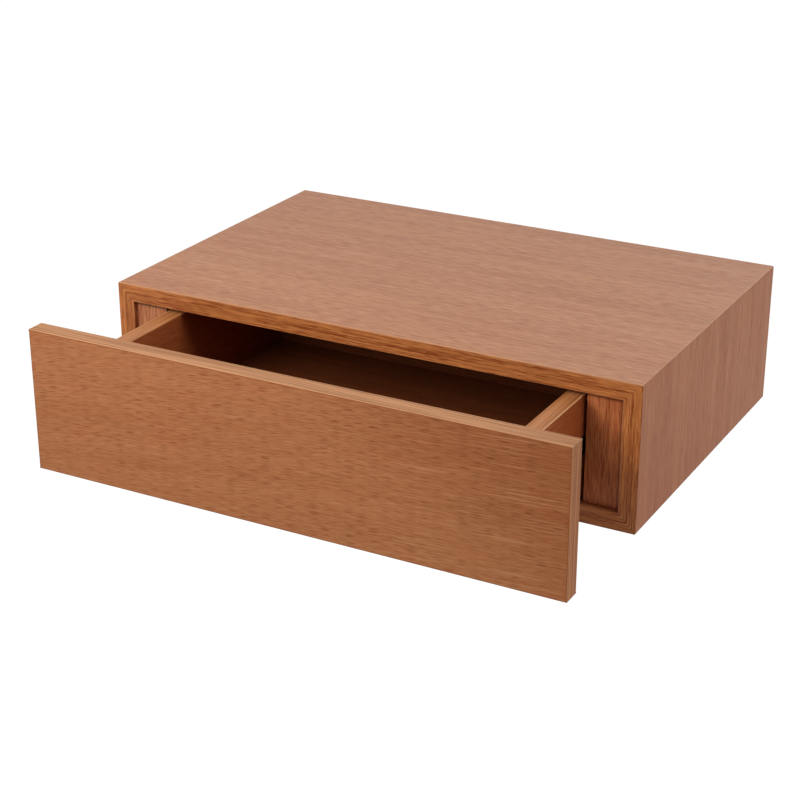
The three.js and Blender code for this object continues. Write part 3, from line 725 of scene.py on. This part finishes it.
# Solid bands on its four edges, with a painted highlight on the rounded arris and a thin dark line at the
# face
front_arris_highlight_mm = (1.4, 0.6)
face_line_mm = (0.30, 0.10)
for edge, seed in (("top", 51.0), ("bottom", 54.0), ("left", 57.0), ("right", 60.0)):
    material, (x, y, z), surface = new_surface(f"drawer_front_{edge}_band")
    if edge in ("top", "bottom"):
        colour, relief = lengthwise_band(x, y, z, tone("#b7845b"), tone("#835333"), seed)
    else:
        colour, relief = lengthwise_band(z, y, x, tone("#b3723f"), tone("#78411f"), seed)
    from_face = y - front_low.y
    # Painted highlight along the rounded front arris
    colour = (from_face.rise(*front_arris_highlight_mm) * 0.5).blend(colour, tone("#c4916a"))
    colour = from_face.rise(*face_line_mm).blend(colour, tone("#8a4f2c"))
    satin = noise(x / 14.0, y / 4.0, z / 14.0) * 0.1 + 0.38
    dress(surface, colour, satin, relief, relief_mm=0.05, sheen=0.08)
    give(material, f"drawer_front_{edge}_edging")


# Runners
# Ball-bearing runners of black coated sheet steel: an inner rail on the runner panel and an
# outer rail in the groove of the drawer side, each a folded channel.
black_steel, (x, y, z), surface = new_surface("black_coated_steel")
grain = clouds(x, y, z, size=0.6)
wear = noise(x / 5.0, y / 60.0, z / 1.2, detail=3.0).rise(0.58, 0.75)
colour = (wear * 0.35).blend(tone("#1d1d1f"), tone("#4a4a4d"))
surface.inputs["Metallic"].default_value = 0.55
dress(surface, colour, grain * 0.12 + 0.36, grain, relief_mm=0.01)
give(
    black_steel, "left_runner_inner_rail", "right_runner_inner_rail",
    "left_runner_outer_rail", "right_runner_outer_rail",
)


# Screws
# Zinc-plated countersunk screws with a cross recess: short ones hold the rails of the runners
# to the panels and to the drawer sides, and four long ones hold the drawer front from inside.
bright_steel, (x, y, z), surface = new_surface("bright_zinc_plated_steel")
bloom = clouds(x, y, z, size=1.5)
spots = clouds(x, y, z, size=0.3, detail=1.0)
colour = bloom.rise(0.35, 0.65).blend(tone("#c9ccd0"), tone("#b3b5b2"))
surface.inputs["Metallic"].default_value = 1.0
dress(surface, colour, bloom * 0.12 + 0.22, spots, relief_mm=0.004, sheen=0.5)

# Of the head's height: its rim and the recess. Of the head's radius: the arms of the recess
head_rim_share = 0.12
recess_depth_share = 1.5
recess_length_share = 1.2
recess_width_share = 0.26

# Of the screw's radius: its core, its point, the bare end beyond the thread, and the thread
core_share = 0.76
point_length_share = 2.4
point_radius_share = 0.05
bare_end_share = 2.0
helix_radius_share = 0.80
ridge_radius_share = 0.2

screw_tree, size = sized_tree(
    "countersunk_screw", length="Float", head_radius="Float", head_height="Float", radius="Float",
    pitch="Float",
)
ring = size["length"].node("GeometryNodeCurvePrimitiveCircle", {}, {"Resolution": 20, "Radius": 1.0})
core = size["radius"] * core_share
shank = swept(ring, [
    (0.0, size["head_radius"]), (size["head_height"] * head_rim_share, size["head_radius"]),
    (size["head_height"], core), (size["length"] - size["radius"] * point_length_share, core),
    (size["length"], size["radius"] * point_radius_share),
])
blades = []
for long_way, short_way in ((0, 1), (1, 0)):
    blade_size = size["length"].node("ShaderNodeCombineXYZ", {}, {
        long_way: size["head_radius"] * recess_length_share,
        short_way: size["head_radius"] * recess_width_share,
        2: size["head_height"] * recess_depth_share,
    })
    blades.append(size["length"].node("GeometryNodeMeshCube", {}, {"Size": blade_size}))
recessed = shank.node(
    "GeometryNodeMeshBoolean", {"operation": "DIFFERENCE", "solver": "EXACT"},
    {"Mesh 1": shank, "Mesh 2": blades},
)
thread_length = size["length"] - size["head_height"] - size["radius"] * bare_end_share
helix_radius = size["radius"] * helix_radius_share
helix = shank.node("GeometryNodeCurveSpiral", {}, {
    "Resolution": 14, "Rotations": thread_length / size["pitch"], "Start Radius": helix_radius,
    "End Radius": helix_radius, "Height": thread_length,
})
below_head = shank.node("ShaderNodeCombineXYZ", {}, {2: size["head_height"]})
helix = shank.node("GeometryNodeTransform", {}, {"Geometry": helix, "Translation": below_head})
ridge = shank.node("GeometryNodeCurvePrimitiveCircle", {}, {"Resolution": 3, "Radius": 1.0})
thread = shank.node("GeometryNodeCurveToMesh", {}, {
    "Curve": helix, "Profile Curve": ridge, "Scale": size["radius"] * ridge_radius_share,
    "Fill Caps": True,
})
screw = shank.node("GeometryNodeJoinGeometry", {}, {"Geometry": [recessed, thread]})
end_tree(at_places(screw, size["places"]), size["material"])

panel_screws = {
    f"{side}_inner_rail_screw_{i}": outward[side] for side in ("left", "right") for i in (1, 2)
}
side_screws = {
    f"{side}_outer_rail_screw_{i}": inward_aim[side] for side in ("left", "right") for i in (1, 2)
}
front_screws = {f"front_fixing_screw_{i}": (0, -1, 0) for i in (1, 2, 3, 4)}
for name, aims, body, head_height, screw_radius, pitch in (
    ("panel_screws", panel_screws, "carcass", 0.0009, 0.0015, 0.0012),
    ("drawer_side_screws", side_screws, "drawer", 0.0009, 0.0015, 0.0012),
    ("front_fixing_screws", front_screws, "drawer", 0.0024, 0.002, 0.0018),
):
    length, head_radius = length_and_radius(*next(iter(aims.items())))
    inputs = {
        "length": length, "head_radius": head_radius, "head_height": head_height,
        "radius": screw_radius, "pitch": pitch, "material": bright_steel,
    }
    make(name, screw_tree, places_of(name, aims), inputs, body, aims)


# Ball cages
# A strip of plated steel folded to a channel, with a round window for each of its twelve balls
# and slots in its web. It rolls between the two rails of its runner, half as far as the drawer.
ball_radius = 0.0013
cage_sheet = 0.0006
ball_from_web = 0.00385
balls_per_row = 6
window_share = 0.94
slot_radius = 0.0022
slot_stretch = 1.5
cutter_sheets = 3.0

cage_tree, size = sized_tree(
    "ball_cage", first_ball="Vector", row_gap="Float", pitch="Float", balls_per_row="Int",
    ball_radius="Float", sheet="Float", slot_place="Vector",
)
step = size["pitch"].node("ShaderNodeCombineXYZ", {}, {1: size["pitch"]})
lift = size["pitch"].node("ShaderNodeCombineXYZ", {}, {2: size["row_gap"]})
second_row = lift.node("ShaderNodeVectorMath", {"operation": "ADD"}, {0: size["first_ball"], 1: lift})
rows = []
for row_start in (size["first_ball"], second_row):
    sockets = {"Count": size["balls_per_row"], "Start Location": row_start, "Offset": step}
    rows.append(lift.node("GeometryNodeMeshLine", {}, sockets))
ball_places = lift.node("GeometryNodeJoinGeometry", {}, {"Geometry": rows})
ball_shape = {"Segments": 20, "Rings": 12, "Radius": size["ball_radius"]}
ball = lift.node("GeometryNodeMeshUVSphere", {}, ball_shape)
ball = lift.node("GeometryNodeSetShadeSmooth", {}, {"Geometry": ball})
balls = lift.node("GeometryNodeInstanceOnPoints", {}, {"Points": ball_places, "Instance": ball})
window = lift.node("GeometryNodeMeshCylinder", {}, {
    "Vertices": 24, "Radius": size["ball_radius"] * window_share,
    "Depth": size["sheet"] * cutter_sheets,
})
windows = lift.node("GeometryNodeInstanceOnPoints", {}, {"Points": ball_places, "Instance": window})
slot_row = lift.node("GeometryNodeMeshLine", {}, {
    "Count": size["balls_per_row"] - 1.0, "Start Location": size["slot_place"], "Offset": step,
})
slot = lift.node("GeometryNodeMeshCylinder", {}, {
    "Vertices": 24, "Radius": slot_radius, "Depth": size["sheet"] * cutter_sheets,
})
slot = lift.node("GeometryNodeTransform", {}, {
    "Geometry": slot, "Rotation": (0.0, math.pi / 2, 0.0), "Scale": (1.0, slot_stretch, 1.0),
})
slots = lift.node("GeometryNodeInstanceOnPoints", {}, {"Points": slot_row, "Instance": slot})
cutters = lift.node("GeometryNodeJoinGeometry", {}, {"Geometry": [windows, slots]})
cutters = lift.node("GeometryNodeRealizeInstances", {}, {"Geometry": cutters})
cage = lift.node(
    "GeometryNodeMeshBoolean", {"operation": "DIFFERENCE", "solver": "EXACT"},
    {"Mesh 1": size["places"], "Mesh 2": [cutters]},
)
caged_balls = lift.node("GeometryNodeJoinGeometry", {}, {"Geometry": [cage, balls]})
end_tree(caged_balls, size["material"])

for side, hand in (("left", -1), ("right", 1)):
    low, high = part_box(f"{side}_runner_ball_cage")
    middle = (low + high) / 2
    web_x = low.x if hand > 0 else high.x
    rim_x = high.x if hand > 0 else low.x
    web_inner_x = web_x + hand * cage_sheet
    ball_rise = (high.z - low.z) / 2 - ball_radius
    half_height = ball_rise + cage_sheet / 2
    inner_half = half_height - cage_sheet
    outline = [
        (web_x, -half_height), (rim_x, -half_height), (rim_x, -inner_half), (web_inner_x, -inner_half),
        (web_inner_x, inner_half), (rim_x, inner_half), (rim_x, half_height), (web_x, half_height),
    ]
    channel = bmesh.new()
    ends = [[channel.verts.new((x, y, middle.z + z)) for x, z in outline] for y in (low.y, high.y)]
    channel.faces.new(ends[0])
    channel.faces.new(ends[1])
    for k in range(len(outline)):
        after = (k + 1) % len(outline)
        channel.faces.new((ends[0][k], ends[0][after], ends[1][after], ends[1][k]))
    bmesh.ops.recalc_face_normals(channel, faces=channel.faces)
    channel_mesh = bpy.data.meshes.new(f"{side}_cage_channel")
    channel.to_mesh(channel_mesh)
    channel.free()
    pitch = (high.y - low.y) / balls_per_row
    inputs = {
        "first_ball": (web_x + hand * ball_from_web, low.y + pitch / 2, middle.z - ball_rise),
        "row_gap": ball_rise * 2, "pitch": pitch, "balls_per_row": balls_per_row,
        "ball_radius": ball_radius, "sheet": cage_sheet,
        "slot_place": (web_x, low.y + pitch, middle.z), "material": bright_steel,
    }
    make(
        f"{side}_cage_and_balls", cage_tree, channel_mesh, inputs, f"{side}_ball_cage",
        [f"{side}_runner_ball_cage"],
    )
